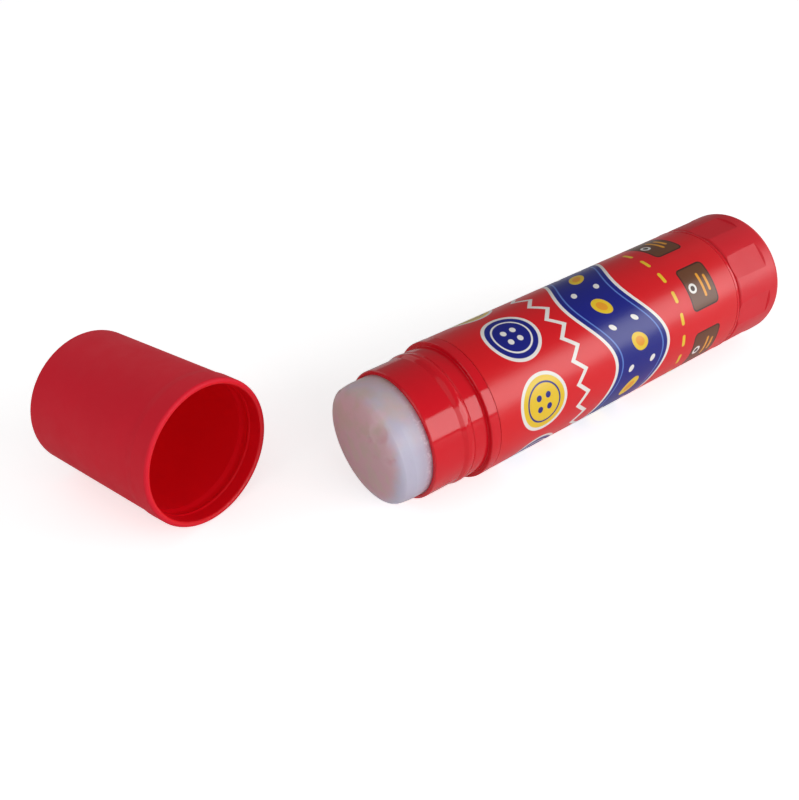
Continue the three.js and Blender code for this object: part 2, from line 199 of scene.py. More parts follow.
# Cap
CAP_MOUTH_WALL = 1.02
CAP_BAND = 3.5  # the thicker end of the cap, from its mouth
CAP_BAND_EASE = 1.2
CAP_BAND_ROUND = 2.5
CAP_BAND_STEP = 0.16
CAP_DRAFT = 0.45  # narrower at the closed end
CAP_EDGE = 0.5  # of the closed end
CAP_LIP_EDGE = 0.55  # outside of the mouth
CAP_MOUTH_EDGE = 0.4  # inside of the mouth
CAP_END_WALL = 1.3
CAP_CORNER = 1.2  # round the inside of the end wall
CAP_BORE_R = 11.15
CAP_BORE_DRAFT = 0.4  # narrower at the end wall
CAP_BEAD_AT = 2.925  # from the mouth
CAP_BEAD = 0.8  # wide
CAP_BEAD_HEIGHT = 0.18
CAP_BEAD_ROUND = 0.5
CAP_BEAD_FOOT = 0.3
CAP_RELIEF_END = 4.2  # from the mouth
CAP_RELIEF_EASE = 0.8  # slope down to the bore
CAP_RELIEF_ROUND = 1
WALL_TOLERANCE = 0.1  # within which a face lies on the end wall

# Camera, from the outlines of the tube and the cap in the photo
CAMERA_PLACE = Vector((99.15, 125.75, 109.8)) * MM
CAMERA_HEADING = 143.48  # degrees round from +Y
CAMERA_PITCH = 34.15  # degrees below the horizon
CAMERA_ROLL = -2.58
CAMERA_FOCAL_PIXELS = 1042.5
IMAGE_LONG_SIDE = 800
SENSOR = 36

# Plastics, in mm
MELT_FLOW = 9  # over which the colour drifts
HANDLING = 3.5  # over which the gloss varies

# Room, in metres
WORLD_LEVEL = 0.18
FLOOR_SIZE = 8
FLOOR_GLOW = 0.62  # added for the camera beside the object
FLOOR_FADE = (0.4, 1.2)  # from the object, where the glow rises to full white


def mount(name):
    """The place of a mount, and the way into the object from it."""
    found = next(m for m in frame["record"]["mounts"] if m["name"] == name)
    return Vector(found["pos_m"]), -Vector(found["axis"])


def reach(node, foot, axis):
    """How far a CAD piece lies along an axis from its foot, from and to, and out from it, in mm."""
    places = [(v.co - foot) / MM for v in frame["nodes"][node].data.vertices]
    along = [place.dot(axis) for place in places]
    out = [(place - axis * far).length for place, far in zip(places, along)]
    return min(along), max(along), max(out)


tube_foot, tube_axis = mount("knob_end")
cap_foot, cap_axis = mount("cap_end")
_, _, knob_r = reach("knob", tube_foot, tube_axis)
parting, rim, barrel_r = reach("barrel", tube_foot, tube_axis)
knob_end = parting - PARTING_GAP
label_start, label_end, _ = reach("label", tube_foot, tube_axis)
label_r = barrel_r - LABEL_STEP
glue_start, _, _ = reach("glue", tube_foot, tube_axis)
_, cap_length, cap_rim_r = reach("cap", cap_foot, cap_axis)
barrel_floor = parting + BARREL_FLOOR_SET_BACK
shoulder = rim - NECK_LENGTH
neck_rear_r = barrel_r - SHOULDER_STEP
neck_front_r = neck_rear_r - NECK_STEP
bore_r = neck_front_r - NECK_WALL


def outline(corners):
    """The points of an outline, with the round of each (along, out, round) corner drawn as an arc."""
    points = []
    for i, (along, out, *rest) in enumerate(corners):
        here = Vector((along, out, 0))
        if not rest:
            points.append(here)
            continue
        before = (Vector((*corners[i - 1][:2], 0)) - here).normalized()
        after = (Vector((*corners[(i + 1) % len(corners)][:2], 0)) - here).normalized()
        half = before.angle(after) / 2
        size = rest[0]
        middle = here + (before + after).normalized() * size / sin(half)
        start = (here + before * size / tan(half) - middle).normalized()
        end = (here + after * size / tan(half) - middle).normalized()
        steps = ceil((pi - 2 * half) / ARC_STEP)
        points += [middle + start.slerp(end, step / steps) * size for step in range(steps + 1)]
    return points


def turned(name, corners):
    """A piece spun about the X axis from its outline, as on a lathe."""
    points = outline(corners)
    if points[0].y > 0:
        points.append(points[0])
    bpy.ops.object.select_all(action="DESELECT")
    bpy.ops.mesh.primitive_plane_add(size=MM)
    piece = bpy.context.object
    piece.name = piece.data.name = name
    bpy.ops.object.mode_set(mode="EDIT")
    bpy.ops.mesh.merge(type="CENTER")
    bpy.ops.transform.translate(value=(points[0].x * MM, 0, points[0].y * MM))
    for here, there in zip(points, points[1:]):
        step = (there - here) * MM
        bpy.ops.mesh.extrude_region_move(TRANSFORM_OT_translate={"value": (step.x, 0, step.y)})
    bpy.ops.mesh.select_all(action="SELECT")
    bpy.ops.mesh.spin(steps=SIDES, angle=2 * pi, center=(0, 0, 0), axis=(1, 0, 0))
    bpy.ops.mesh.select_all(action="SELECT")
    bpy.ops.mesh.remove_doubles(threshold=WELD)
    bpy.ops.mesh.normals_make_consistent(inside=False)
    bpy.ops.object.mode_set(mode="OBJECT")
    return piece


def bar(name, span, heights, width, turn, slope=0):
    """A bar along X between two heights off the axis, turned about it, its low end drawn out at the top."""
    bpy.ops.object.select_all(action="DESELECT")
    bpy.ops.mesh.primitive_cube_add(size=MM, location=(sum(span) / 2 * MM, 0, sum(heights) / 2 * MM))
    piece = bpy.context.object
    piece.name = name
    piece.scale = (span[1] - span[0], width, heights[1] - heights[0])
    bpy.ops.object.transform_apply(location=True, rotation=True, scale=True)
    for vertex in piece.data.vertices:
        if vertex.co.x < sum(span) / 2 * MM and vertex.co.z > sum(heights) / 2 * MM:
            vertex.co.x -= slope * MM
    piece.rotation_euler.x = -radians(turn)
    bpy.ops.object.transform_apply(location=True, rotation=True, scale=True)
    return piece


def boolean(piece, tool, operation):
    """Cuts a tool out of a piece or joins it on, and clears the tool away."""
    bpy.ops.object.select_all(action="DESELECT")
    bpy.context.view_layer.objects.active = piece
    piece.select_set(True)
    bpy.ops.object.modifier_add(type="BOOLEAN")
    change = piece.modifiers[-1]
    change.operation = operation
    change.object = tool
    bpy.ops.object.modifier_apply(modifier=change.name)
    bpy.data.objects.remove(tool)


def dress(piece, foot, axis, crease, *materials):
    """Puts a piece in its place along an axis, smooths it up to a crease in degrees, and paints it."""
    bpy.ops.object.select_all(action="DESELECT")
    bpy.context.view_layer.objects.active = piece
    piece.select_set(True)
    piece.matrix_world = Matrix.Translation(foot) @ axis.to_track_quat("X", "Z").to_matrix().to_4x4()
    bpy.ops.object.transform_apply(location=True, rotation=True, scale=True)
    bpy.ops.object.shade_smooth_by_angle(angle=radians(crease))
    bpy.ops.object.modifier_add(type="WEIGHTED_NORMAL")
    weigh = piece.modifiers[-1]
    weigh.keep_sharp = True
    bpy.ops.object.modifier_apply(modifier=weigh.name)
    for material in materials:
        piece.data.materials.append(material)


# Materials

def linear(code):
    """The linear colour of an sRGB hex value."""
    parts = [int(code[i : i + 2], 16) / 255 for i in (1, 3, 5)]
    return (*(x / 12.92 if x <= 0.04045 else ((x + 0.055) / 1.055) ** 2.4 for x in parts), 1)


def feed(tree, node, inputs):
    """Sets a node's inputs, each to a value or to the output that feeds it.

    A colour mix has its two colours at inputs 6 and 7, and the mixed one at output 2.
    """
    for socket, value in inputs.items():
        if isinstance(value, bpy.types.NodeSocket):
            tree.links.new(value, node.inputs[socket])
        else:
            node.inputs[socket].default_value = value


def add(tree, kind, inputs, **settings):
    """A new node with its settings and its inputs."""
    node = tree.nodes.new(kind)
    for name, value in settings.items():
        setattr(node, name, value)
    feed(tree, node, inputs)
    return node


def moulded(name, colour, shade, roughness, haze, grain, grain_depth, shine=0.5):
    """A moulded plastic with a grain: its colour drifts with the flow of the melt, and its gloss varies."""
    material = bpy.data.materials.new(name)
    material.use_nodes = True
    tree = material.node_tree
    place = add(tree, "ShaderNodeTexCoord", {}).outputs["Object"]
    flow = add(
        tree, "ShaderNodeTexNoise",
        {"Vector": place, "Scale": 1 / (MELT_FLOW * MM), "Detail": 3, "Roughness": 0.4},
    )
    mix = add(
        tree, "ShaderNodeMix",
        {0: flow.outputs["Fac"], 6: linear(colour), 7: linear(shade)},
        data_type="RGBA",
    )
    fine = add(tree, "ShaderNodeTexNoise", {"Vector": place, "Scale": 1 / (grain * MM), "Detail": 2})
    bump = add(
        tree, "ShaderNodeBump",
        {"Height": fine.outputs["Fac"], "Distance": grain_depth * MM, "Strength": 1},
    )
    worn = add(
        tree, "ShaderNodeTexNoise",
        {"Vector": place, "Scale": 1 / (HANDLING * MM), "Detail": 5, "Roughness": 0.6},
    )
    gloss = add(
        tree, "ShaderNodeMapRange",
        {"Value": worn.outputs["Fac"], "From Min": 0.3, "From Max": 0.7,
         "To Min": roughness - haze, "To Max": roughness + haze},
    )
    shader = tree.nodes["Principled BSDF"]
    feed(tree, shader, {
        "Base Color": mix.outputs[2],
        "Roughness": gloss.outputs["Result"],
        "Normal": bump.outputs["Normal"],
        "IOR": 1.49,
        "Specular IOR Level": shine,
    })
    return material


def spark_finish_polypropylene():
    """Outside of the cap: polypropylene from a spark-eroded mould, an even matte with a soft pale sheen.

    Its real grain is too fine to show, so it is drawn 0.3 mm wide.
    """
    return moulded(
        "spark_finish_polypropylene", "#F2112F", "#E8102C",
        roughness=0.58, haze=0.05, grain=0.3, grain_depth=0.012, shine=0.36,
    )


def core_polypropylene():
    """Inside of the cap: the same plastic off the smooth core of the mould, deeper, with a dull gloss."""
    return moulded(
        "core_polypropylene", "#F40C1F", "#EE0A1D",
        roughness=0.33, haze=0.05, grain=0.6, grain_depth=0.004,
    )


def polished_polypropylene():
    """Barrel: polypropylene from a polished mould, with sharp reflections that waver a little."""
    return moulded(
        "polished_polypropylene", "#E30F22", "#DA0E20",
        roughness=0.1, haze=0.03, grain=2.2, grain_depth=0.006,
    )


def satin_polypropylene():
    """Knob: polypropylene with a fine satin, a wide soft gloss. Its grain is drawn as wide as the cap's."""
    return moulded(
        "satin_polypropylene", "#E20F25", "#D90E22",
        roughness=0.34, haze=0.04, grain=0.3, grain_depth=0.006,
    )


def natural_polypropylene():
    """Spindle and carrier: uncoloured polypropylene, milky white."""
    return moulded(
        "natural_polypropylene", "#E9E6DE", "#E0DDD4",
        roughness=0.4, haze=0.05, grain=0.5, grain_depth=0.005,
    )


def worn_colour(tree, place, up):
    """Colour of the glue's worn face: darker and pinker towards its low side as painted shade, with beige
    stains.
    """
    # Painted shade: the gel is painted darker and pinker towards the bottom of the face.
    low = add(
        tree, "ShaderNodeMapRange",
        {"Value": up, "From Min": PAINTED_SHADE_TOP * MM, "From Max": PAINTED_SHADE_BOTTOM * MM},
    )
    gel = add(
        tree, "ShaderNodeMix",
        {0: low.outputs[0], 6: linear("#E0BEC3"), 7: linear("#D6A9B3")},
        data_type="RGBA",
    )
    stain = add(tree, "ShaderNodeTexNoise", {"Vector": place, "Scale": 1 / (STAIN * MM), "Detail": 3})
    spots = add(
        tree, "ShaderNodeMapRange",
        {"Value": stain.outputs["Fac"], "From Min": 0.42, "From Max": 0.64, "To Min": 0, "To Max": 0.5},
        interpolation_type="SMOOTHSTEP",
    )
    stained = add(
        tree, "ShaderNodeMix",
        {0: spots.outputs[0], 6: gel.outputs[2], 7: linear("#CFC0AE")},
        data_type="RGBA",
    )
    return stained.outputs[2]


def side_colour(tree, place, along, cloud):
    """Colour of the glue's side: palest at the bevel under a painted highlight, reddened at the neck's rim
    by painted light bounced off the red rim, and crumbly there.
    """
    gel = add(
        tree, "ShaderNodeMix",
        {0: cloud, 6: linear("#C3BCD2"), 7: linear("#CABBCB")},
        data_type="RGBA",
    )
    # Painted highlight: the side is painted paler up to the bevel, where light shines on it.
    start, end = (rim + GLUE_OUT + past for past in PAINTED_BEVEL_HIGHLIGHT)
    bevel = add(
        tree, "ShaderNodeMapRange",
        {"Value": along, "From Min": start * MM, "From Max": end * MM, "To Min": 0, "To Max": 0.6},
        interpolation_type="SMOOTHSTEP",
    )
    pale = add(
        tree, "ShaderNodeMix",
        {0: bevel.outputs[0], 6: gel.outputs[2], 7: linear("#CBCDDF")},
        data_type="RGBA",
    )
    from_rim = add(tree, "ShaderNodeMath", {0: along, 1: rim * MM}, operation="SUBTRACT")
    from_rim = add(tree, "ShaderNodeMath", {0: from_rim.outputs[0]}, operation="ABSOLUTE")
    # Painted light: red light bounced off the neck's rim is painted onto the gel on either side of it, over
    # the shade in the crevice.
    painted_bounce = add(
        tree, "ShaderNodeMapRange",
        {"Value": from_rim.outputs[0], "From Min": PAINTED_RIM_BOUNCE * MM, "From Max": 0,
         "To Min": 0, "To Max": 0.75},
        interpolation_type="SMOOTHSTEP",
    )
    with_painted_bounce = add(
        tree, "ShaderNodeMix",
        {0: painted_bounce.outputs[0], 6: pale.outputs[2], 7: linear("#D698AA")},
        data_type="RGBA",
    )
    grit = add(tree, "ShaderNodeTexNoise", {"Vector": place, "Scale": 1 / (CRUMB * MM), "Detail": 2})
    crumb = add(
        tree, "ShaderNodeMapRange",
        {"Value": grit.outputs["Fac"], "From Min": 0.54, "From Max": 0.66},
    )
    row = add(
        tree, "ShaderNodeMapRange",
        {"Value": from_rim.outputs[0], "From Min": CRUMB_REACH * MM, "From Max": 0, "To Max": 0.7},
    )
    crumbs = add(tree, "ShaderNodeMath", {0: crumb.outputs[0], 1: row.outputs[0]}, operation="MULTIPLY")
    crumbly = add(
        tree, "ShaderNodeMix",
        {0: crumbs.outputs[0], 6: with_painted_bounce.outputs[2], 7: linear("#F2E2EA")},
        data_type="RGBA",
    )
    return crumbly.outputs[2]


def glue_gel():
    """Glue: a stiff soap gel, milky and waxy, so light sinks in and comes out soft and a little violet."""
    material = bpy.data.materials.new("glue_gel")
    material.use_nodes = True
    tree = material.node_tree
    place = add(tree, "ShaderNodeTexCoord", {}).outputs["Object"]
    centred = add(tree, "ShaderNodeMapping", {"Vector": place, "Location": -tube_foot})
    parts = add(tree, "ShaderNodeSeparateXYZ", {0: centred.outputs["Vector"]})
    across = add(
        tree, "ShaderNodeVectorMath",
        {0: centred.outputs["Vector"], 1: (0, 1 / MM, 1 / MM), 2: (0, *WORN_SHIFT)},
        operation="MULTIPLY_ADD",
    )
    out = add(tree, "ShaderNodeVectorMath", {0: across.outputs["Vector"]}, operation="LENGTH")
    cloud = add(tree, "ShaderNodeTexNoise", {"Vector": place, "Scale": 1 / (CLOUD * MM), "Detail": 4})
    ragged = add(
        tree, "ShaderNodeMath",
        {0: cloud.outputs["Fac"], 1: WORN_RAGGED, 2: out.outputs["Value"]},
        operation="MULTIPLY_ADD",
    )
    edge = add(
        tree, "ShaderNodeMapRange",
        {"Value": ragged.outputs["Value"], "From Min": WORN_EDGE[0], "From Max": WORN_EDGE[1]},
        interpolation_type="SMOOTHSTEP",
    )
    fresh = add(
        tree, "ShaderNodeMapRange",
        {"Value": parts.outputs["X"], "From Min": rim * MM, "From Max": (rim - FRESH_FADE) * MM},
        interpolation_type="SMOOTHSTEP",
    )
    unworn = add(tree, "ShaderNodeMath", {0: edge.outputs[0], 1: fresh.outputs[0]}, operation="MAXIMUM")
    face = worn_colour(tree, place, parts.outputs["Z"])
    side = side_colour(tree, place, parts.outputs["X"], cloud.outputs["Fac"])
    mix = add(tree, "ShaderNodeMix", {0: unworn.outputs[0], 6: face, 7: side}, data_type="RGBA")
    smear = add(tree, "ShaderNodeTexNoise", {"Vector": place, "Scale": 1 / (SMEAR * MM), "Detail": 4})
    bump = add(
        tree, "ShaderNodeBump",
        {"Height": smear.outputs["Fac"], "Distance": SMEAR_DEPTH * MM, "Strength": 1},
    )
    shader = tree.nodes["Principled BSDF"]
    shader.subsurface_method = "RANDOM_WALK"
    feed(tree, shader, {
        "Base Color": mix.outputs[2],
        "Normal": bump.outputs["Normal"],
        "Roughness": 0.36,
        "IOR": 1.45,
        "Subsurface Weight": 0.8,
        "Subsurface Radius": (1.0, 0.8, 1.0),
        "Subsurface Scale": 4 * MM,
    })
    return material


def ink(tree, under, distance, reach, colour):
    """Prints a colour over what is under it, wherever a distance stays within a reach in mm."""
    cover = add(
        tree, "ShaderNodeMapRange",
        {"Value": distance, "From Min": reach - INK_EDGE, "From Max": reach + INK_EDGE,
         "To Min": 1, "To Max": 0},
        interpolation_type="SMOOTHSTEP",
    )
    layer = add(
        tree, "ShaderNodeMix",
        {0: cover.outputs[0], 6: under, 7: linear(INKS[colour])},
        data_type="RGBA",
    )
    return layer.outputs[2]


def in_row(tree, place, row, pitch, start=0):
    """Places within each cell of a row that repeats round the tube."""
    moved = add(tree, "ShaderNodeVectorMath", {0: place, 1: (row, start, 0)}, operation="SUBTRACT")
    cell = add(
        tree, "ShaderNodeVectorMath",
        {0: moved.outputs[0], 1: (BEYOND, pitch / 2, 1), 2: (-BEYOND, -pitch / 2, -1)},
        operation="WRAP",
    )
    return cell.outputs[0]


def from_point(tree, place, point=(0, 0)):
    """Distance from a point, and from its mirror images when the place is folded."""
    moved = add(tree, "ShaderNodeVectorMath", {0: place, 1: (*point, 0)}, operation="SUBTRACT")
    return add(tree, "ShaderNodeVectorMath", {0: moved.outputs[0]}, operation="LENGTH").outputs["Value"]


def from_box(tree, place, size, corner):
    """Distance from a box that is smaller than its size by its corner on every side."""
    fold = add(tree, "ShaderNodeVectorMath", {0: place}, operation="ABSOLUTE")
    half = (size[0] / 2 - corner, size[1] / 2 - corner, 0)
    past = add(tree, "ShaderNodeVectorMath", {0: fold.outputs[0], 1: half}, operation="SUBTRACT")
    outside = add(tree, "ShaderNodeVectorMath", {0: past.outputs[0], 1: (0, 0, 0)}, operation="MAXIMUM")
    return add(tree, "ShaderNodeVectorMath", {0: outside.outputs[0]}, operation="LENGTH").outputs["Value"]


def tags(tree, under, place, girth):
    """Brown cloth tags with a pale eyelet, a dark hem and two orange lines."""
    pitch = girth / TAGS
    cell = in_row(tree, place, TAG_ROW, pitch)
    edge = from_box(tree, cell, TAG_SIZE, TAG_CORNER)
    under = ink(tree, under, edge, TAG_CORNER, "dark_brown")
    under = ink(tree, under, edge, TAG_CORNER - TAG_HEM, "brown")
    eyelet = from_point(tree, cell, (EYELET_AT, 0))
    under = ink(tree, under, eyelet, EYELET_R, "white")
    under = ink(tree, under, eyelet, EYELET_HOLE_R, "dark_brown")
    for row, width in TAG_LINES:
        cell = in_row(tree, place, TAG_ROW + row, pitch)
        line = from_box(tree, cell, (2 * TAG_LINE_REACH, width), TAG_LINE_REACH)
        under = ink(tree, under, line, TAG_LINE_REACH, "orange")
    return under


def stitches(tree, under, place, girth):
    """A running stitch in yellow thread."""
    cell = in_row(tree, place, STITCH_ROW, girth / STITCHES)
    return ink(tree, under, from_box(tree, cell, STITCH_SIZE, STITCH_CORNER), STITCH_CORNER, "yellow")


def ribbon(tree, under, place, girth):
    """A navy ribbon that waves round the tube, with white hems, a pale thread, spots and dots."""
    parts = add(tree, "ShaderNodeSeparateXYZ", {0: place})
    turn = add(
        tree, "ShaderNodeMath",
        {0: parts.outputs["Y"], 1: 2 * pi * RIBBON_WAVES / girth},
        operation="MULTIPLY",
    )
    wave = add(tree, "ShaderNodeMath", {0: turn.outputs[0]}, operation="SINE")
    swing = add(
        tree, "ShaderNodeMath",
        {0: wave.outputs[0], 1: RIBBON_SWING, 2: RIBBON_ROW},
        operation="MULTIPLY_ADD",
    )
    off = add(tree, "ShaderNodeMath", {0: parts.outputs["X"], 1: swing.outputs[0]}, operation="SUBTRACT")
    fold = add(tree, "ShaderNodeMath", {0: off.outputs[0]}, operation="ABSOLUTE").outputs[0]
    half = RIBBON_WIDTH / 2
    under = ink(tree, under, fold, half + RIBBON_HEM, "white")
    under = ink(tree, under, fold, half, "navy")
    thread = add(tree, "ShaderNodeMath", {0: fold, 1: half - RIBBON_THREAD_AT}, operation="SUBTRACT")
    thread = add(tree, "ShaderNodeMath", {0: thread.outputs[0]}, operation="ABSOLUTE")
    under = ink(tree, under, thread.outputs[0], THREAD_REACH, "pale_blue")
    straight = add(tree, "ShaderNodeCombineXYZ", {"X": off.outputs[0], "Y": parts.outputs["Y"]}).outputs[0]
    pitch = girth / RIBBON_WAVES / SPOTS
    spot = from_point(tree, in_row(tree, straight, 0, pitch))
    under = ink(tree, under, spot, SPOT_R, "yellow")
    under = ink(tree, under, spot, SPOT_EYE_R, "orange")
    for row in DOT_ROWS:
        dot = from_point(tree, in_row(tree, straight, row, pitch, pitch / 2))
        under = ink(tree, under, dot, DOT_R, "white")
    return under


def zigzag(tree, under, place, girth):
    """A zigzag braid in white."""
    parts = add(tree, "ShaderNodeSeparateXYZ", {0: place})
    half_pitch = girth / ZIGZAGS / 2
    fold = add(tree, "ShaderNodeMath", {0: parts.outputs["Y"], 1: half_pitch}, operation="PINGPONG")
    swing = add(
        tree, "ShaderNodeMath",
        {0: fold.outputs[0], 1: 2 * ZIGZAG_SWING / half_pitch, 2: ZIGZAG_ROW - ZIGZAG_SWING},
        operation="MULTIPLY_ADD",
    )
    off = add(tree, "ShaderNodeMath", {0: parts.outputs["X"], 1: swing.outputs[0]}, operation="SUBTRACT")
    fold = add(tree, "ShaderNodeMath", {0: off.outputs[0]}, operation="ABSOLUTE")
    return ink(tree, under, fold.outputs[0], BRAID_REACH, "white")


def buttons(tree, under, place, girth):
    """Round buttons with four holes, navy and yellow in turn."""
    pitch = girth / BUTTONS
    for start, face, mark in ((pitch / 2, "navy", "white"), (3 * pitch / 2, "yellow", "navy")):
        cell = in_row(tree, place, BUTTON_ROW, 2 * pitch, start)
        out = from_point(tree, cell)
        under = ink(tree, under, out, BUTTON_R, "white")
        under = ink(tree, under, out, BUTTON_R - BUTTON_HEM, face)
        ring = add(tree, "ShaderNodeMath", {0: out, 1: BUTTON_R - BUTTON_RING_AT}, operation="SUBTRACT")
        ring = add(tree, "ShaderNodeMath", {0: ring.outputs[0]}, operation="ABSOLUTE")
        under = ink(tree, under, ring.outputs[0], THREAD_REACH, mark)
        fold = add(tree, "ShaderNodeVectorMath", {0: cell}, operation="ABSOLUTE").outputs[0]
        hole = from_point(tree, fold, (BUTTON_HOLE_AT, BUTTON_HOLE_AT))
        under = ink(tree, under, hole, BUTTON_HOLE_R, mark)
    return under


def printed_film():
    """Label: a plastic film printed in gloss inks, with a broad soft shine and a faint ripple."""
    material = bpy.data.materials.new("printed_film")
    material.use_nodes = True
    tree = material.node_tree
    girth = 2 * pi * label_r
    spread = add(tree, "ShaderNodeUVMap", {}, uv_map="print")
    in_mm = add(
        tree, "ShaderNodeVectorMath",
        {0: spread.outputs[0], 1: (label_end - label_start, girth, 0)},
        operation="MULTIPLY",
    )
    place = in_mm.outputs[0]
    tone = add(tree, "ShaderNodeTexNoise", {"Vector": place, "Scale": 1 / INK_TONE, "Detail": 2})
    ground = add(
        tree, "ShaderNodeMix",
        {0: tone.outputs["Fac"], 6: linear(INKS["red"]), 7: linear(INKS["deep_red"])},
        data_type="RGBA",
    )
    colour = ground.outputs[2]
    for motif in (tags, stitches, ribbon, zigzag, buttons):
        colour = motif(tree, colour, place, girth)
    ripple = add(tree, "ShaderNodeTexNoise", {"Vector": place, "Scale": 1 / RIPPLE, "Detail": 3})
    bump = add(
        tree, "ShaderNodeBump",
        {"Height": ripple.outputs["Fac"], "Distance": RIPPLE_DEPTH * MM, "Strength": 1},
    )
    feed(tree, tree.nodes["Principled BSDF"], {
        "Base Color": colour,
        "Normal": bump.outputs["Normal"],
        "Roughness": 0.3,
        "IOR": 1.5,
    })
    return material


# Pieces

def barrel():
    """Shell with a floor, two collars and a stepped neck, and two guide ribs in its bore."""
    groove = shoulder + SNAP_GROOVE_AT
    groove_r = neck_rear_r - SNAP_GROOVE_DEPTH
    ring = groove + SNAP_GROOVE
    ring_r = neck_rear_r + SNAP_RING_HEIGHT
    crown = ring + SNAP_RING_EASE
    lead = crown + SNAP_RING_CROWN
    panel_r = barrel_r - PANEL_DEPTH
    piece = turned("barrel_shell", [
        (barrel_floor, STUB_HOLE_R, 0.2),
        (barrel_floor, bore_r, 0.2),
        (parting, bore_r, 0.1),
        (parting, barrel_r, COLLAR_EDGE),
        (parting + REAR_COLLAR, barrel_r, 0.1),
        (parting + REAR_COLLAR, panel_r),
        (shoulder - FRONT_COLLAR, panel_r),
        (shoulder - FRONT_COLLAR, barrel_r, 0.1),
        (shoulder, barrel_r, COLLAR_EDGE),
        (shoulder, neck_rear_r, 0.08),
        (groove, neck_rear_r, 0.1),
        ((groove + ring) / 2, groove_r, 0.1),
        (ring, neck_rear_r, 0.1),
        (crown, ring_r, 0.5),
        (lead, ring_r, 0.8),
        (lead + SNAP_RING_LEAD, neck_front_r, 0.6),
        (rim, neck_front_r, RIM_EDGE),
        (rim, bore_r, 0.12),
        (barrel_floor + BARREL_FLOOR, bore_r, 0.3),
        (barrel_floor + BARREL_FLOOR, STUB_HOLE_R, 0.2),
    ])
    for turn in RIB_AT:
        rib = bar(
            "rib", (barrel_floor + BARREL_FLOOR / 2, rim - RIB_STOP),
            (bore_r - RIB_HEIGHT, bore_r + NECK_WALL / 2), RIB_WIDTH, turn,
        )
        boolean(piece, rib, "UNION")
    dress(piece, tube_foot, tube_axis, CREASE, polished_polypropylene())
    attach(piece, "barrel")
    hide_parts("barrel")


def label():
    """Film that goes round the barrel from one side of its seam to the other."""
    start = radians(LABEL_SEAM_AT) + LABEL_SEAM / 2 / label_r
    bpy.ops.object.select_all(action="DESELECT")
    bpy.ops.mesh.primitive_plane_add(size=MM)
    piece = bpy.context.object
    piece.name = piece.data.name = "label_film"
    bpy.ops.object.mode_set(mode="EDIT")
    bpy.ops.mesh.merge(type="CENTER")
    corner = Vector((label_start, label_r * sin(start), label_r * cos(start)))
    bpy.ops.transform.translate(value=corner * MM)
    bpy.ops.mesh.spin(steps=SIDES, angle=2 * pi - LABEL_SEAM / label_r, center=(0, 0, 0), axis=(-1, 0, 0))
    bpy.ops.mesh.select_all(action="SELECT")
    for _ in range(LABEL_ROWS):
        step = (label_end - label_start) / LABEL_ROWS * MM
        bpy.ops.mesh.extrude_region_move(TRANSFORM_OT_translate={"value": (step, 0, 0)})
    bpy.ops.mesh.select_all(action="SELECT")
    bpy.ops.mesh.normals_make_consistent(inside=False)
    bpy.ops.object.mode_set(mode="OBJECT")
    print_map = piece.data.uv_layers.new(name="print")
    for loop in piece.data.loops:
        place = piece.data.vertices[loop.vertex_index].co / MM
        turn = (pi / 2 - radians(LABEL_SEAM_AT) - atan2(place.z, place.y)) % (2 * pi)
        along = (place.x - label_start) / (label_end - label_start)
        print_map.data[loop.index].uv = (along, turn / (2 * pi))
    bpy.ops.object.modifier_add(type="SOLIDIFY")
    wall = piece.modifiers[-1]
    wall.thickness = LABEL_THICKNESS * MM
    wall.offset = -1
    bpy.ops.object.modifier_apply(modifier=wall.name)
    dress(piece, tube_foot, tube_axis, CREASE, printed_film())
    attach(piece, "barrel")
    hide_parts("label")


def knob():
    """Skirt with eight flats, and in it the boss that centres it in the barrel and the spindle's socket."""
    inner_r = knob_r - KNOB_DRAFT - KNOB_WALL
    boss_r = bore_r - BOSS_CLEARANCE
    boss_end = barrel_floor - BOSS_GAP
    piece = turned("knob_shell", [
        (DIMPLE_DEPTH - GATE_HEIGHT, 0),
        (DIMPLE_DEPTH - GATE_HEIGHT, GATE_R, 0.05),
        (DIMPLE_DEPTH, GATE_R),
        (DIMPLE_DEPTH, DIMPLE_R, 0.15),
        (0, DIMPLE_R + DIMPLE_DEPTH, 0.15),
        (0, knob_r, KNOB_EDGE),
        (knob_end, knob_r - KNOB_DRAFT, KNOB_LIP),
        (knob_end, inner_r, 0.1),
        (KNOB_END_WALL, inner_r, 0.4),
        (KNOB_END_WALL, boss_r, 0.4),
        (boss_end, boss_r, 0.15),
        (boss_end, boss_r - BOSS_WALL, 0.15),
        (KNOB_END_WALL, boss_r - BOSS_WALL, 0.4),
        (KNOB_END_WALL, SOCKET_R + SOCKET_WALL, 0.4),
        (boss_end, SOCKET_R + SOCKET_WALL, 0.15),
        (boss_end, SOCKET_R, 0.15),
        (KNOB_END_WALL, SOCKET_R),
        (KNOB_END_WALL, 0),
    ])
    flat_r = knob_r - FLAT_DEPTH
    for k in range(FLAT_COUNT):
        tool = bar(
            "flat_tool", (FLAT_START, knob_end + 1), (flat_r, knob_r + FLAT_DEPTH), knob_r / 2,
            FLAT_AT + 360 * k / FLAT_COUNT, 2 * FLAT_SLOPE,
        )
        boolean(piece, tool, "DIFFERENCE")
    dress(piece, tube_foot, tube_axis, KNOB_CREASE, satin_polypropylene())
    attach(piece, "knob")
    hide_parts("knob")


